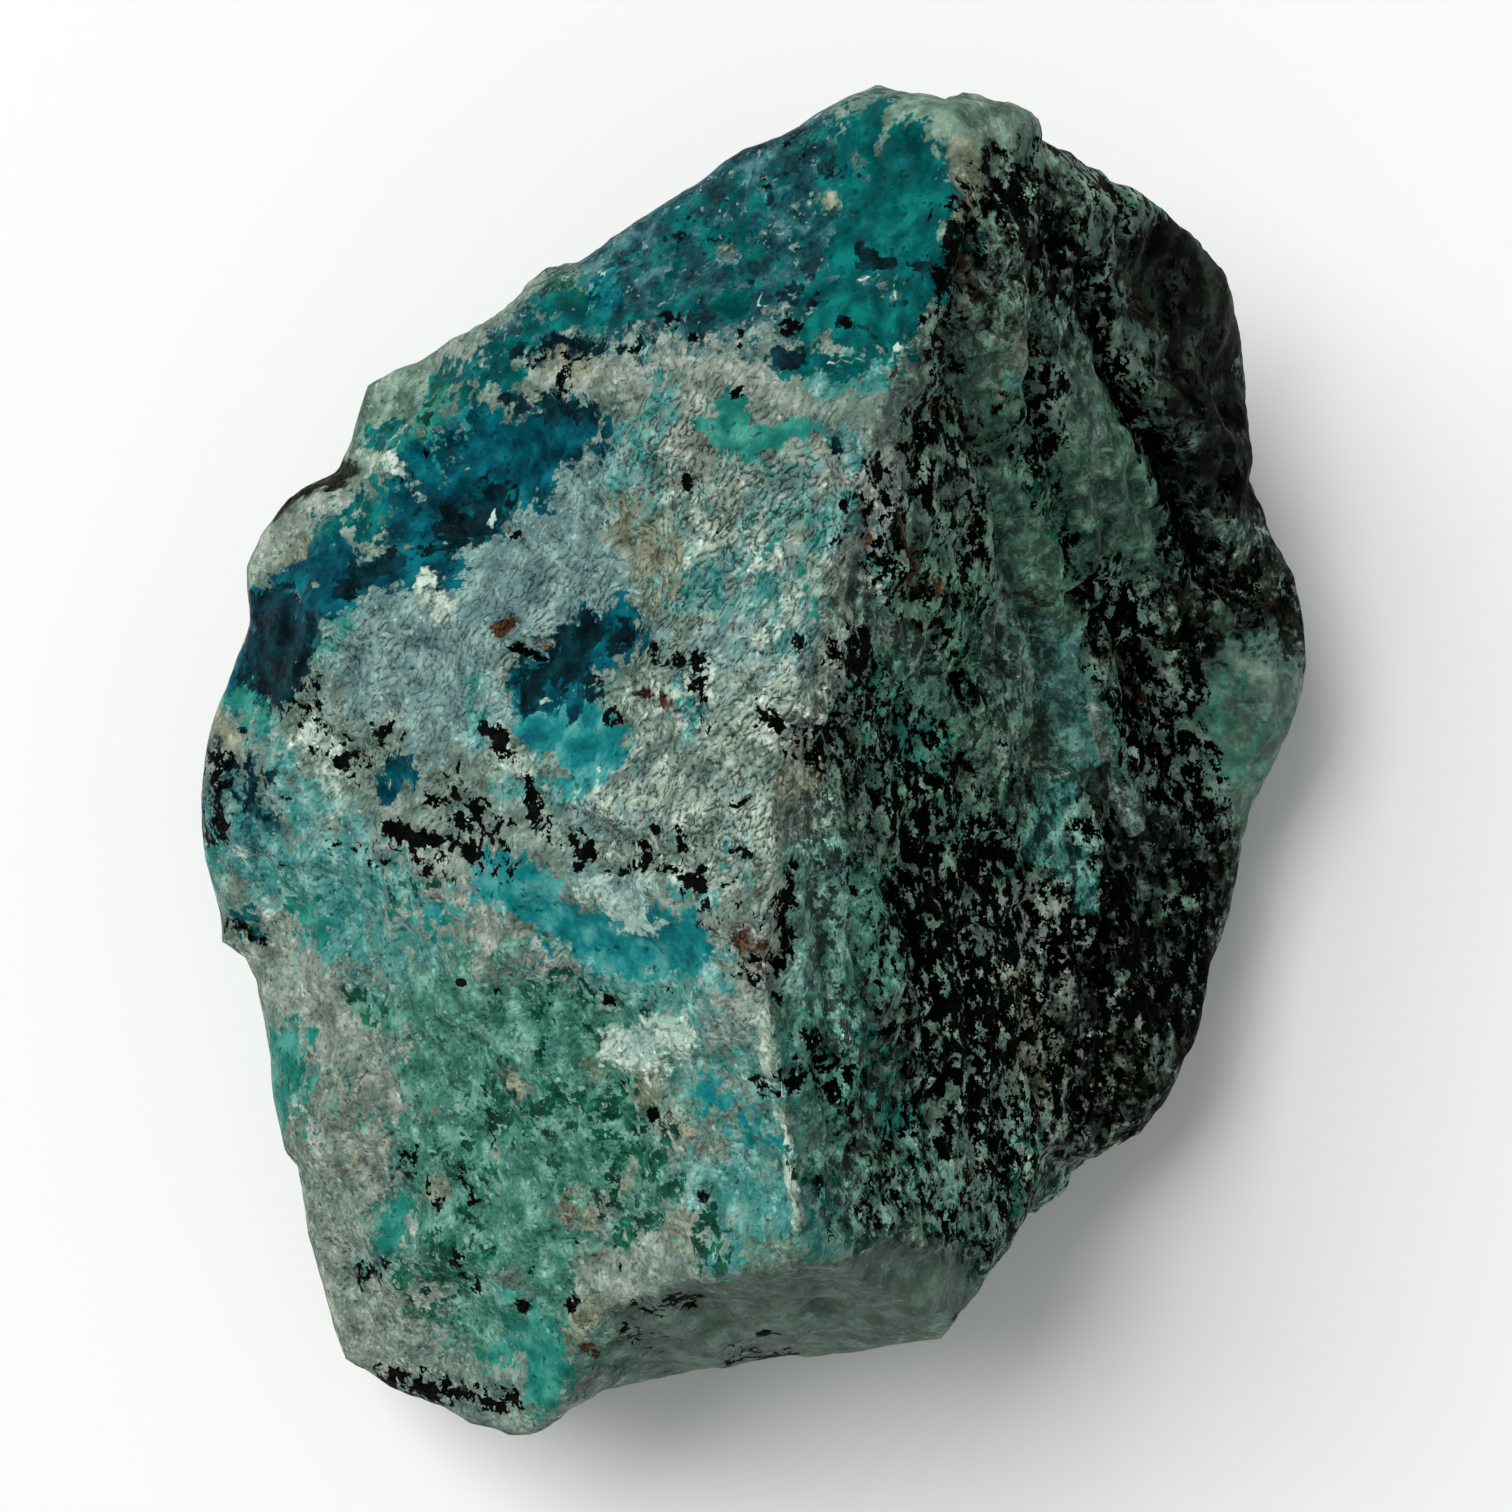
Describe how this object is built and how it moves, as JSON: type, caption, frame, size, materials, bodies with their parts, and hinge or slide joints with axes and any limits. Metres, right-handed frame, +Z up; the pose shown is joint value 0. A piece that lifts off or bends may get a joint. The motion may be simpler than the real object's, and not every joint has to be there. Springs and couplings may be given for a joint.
{
  "type": "chrysocolla specimen",
  "caption": "Rough wedge-shaped chrysocolla stone with a sloping lit face, a steep dark face, a stepped end and a flat base to rest on.",
  "frame": {"origin": "middle of the base, on the surface that the stone rests on", "axes": "+Z up, +Y along the stone's long side towards its taller end, +X across the ridge towards the steep face"},
  "size_m": [0.0604, 0.0698, 0.0372],
  "materials": {
    "chrysocolla": "matt broken mineral, blue-green with black flecks"
  },
  "bodies": {
    "root": {"chrysocolla_stone": "chrysocolla"}
  },
  "joints": []
}
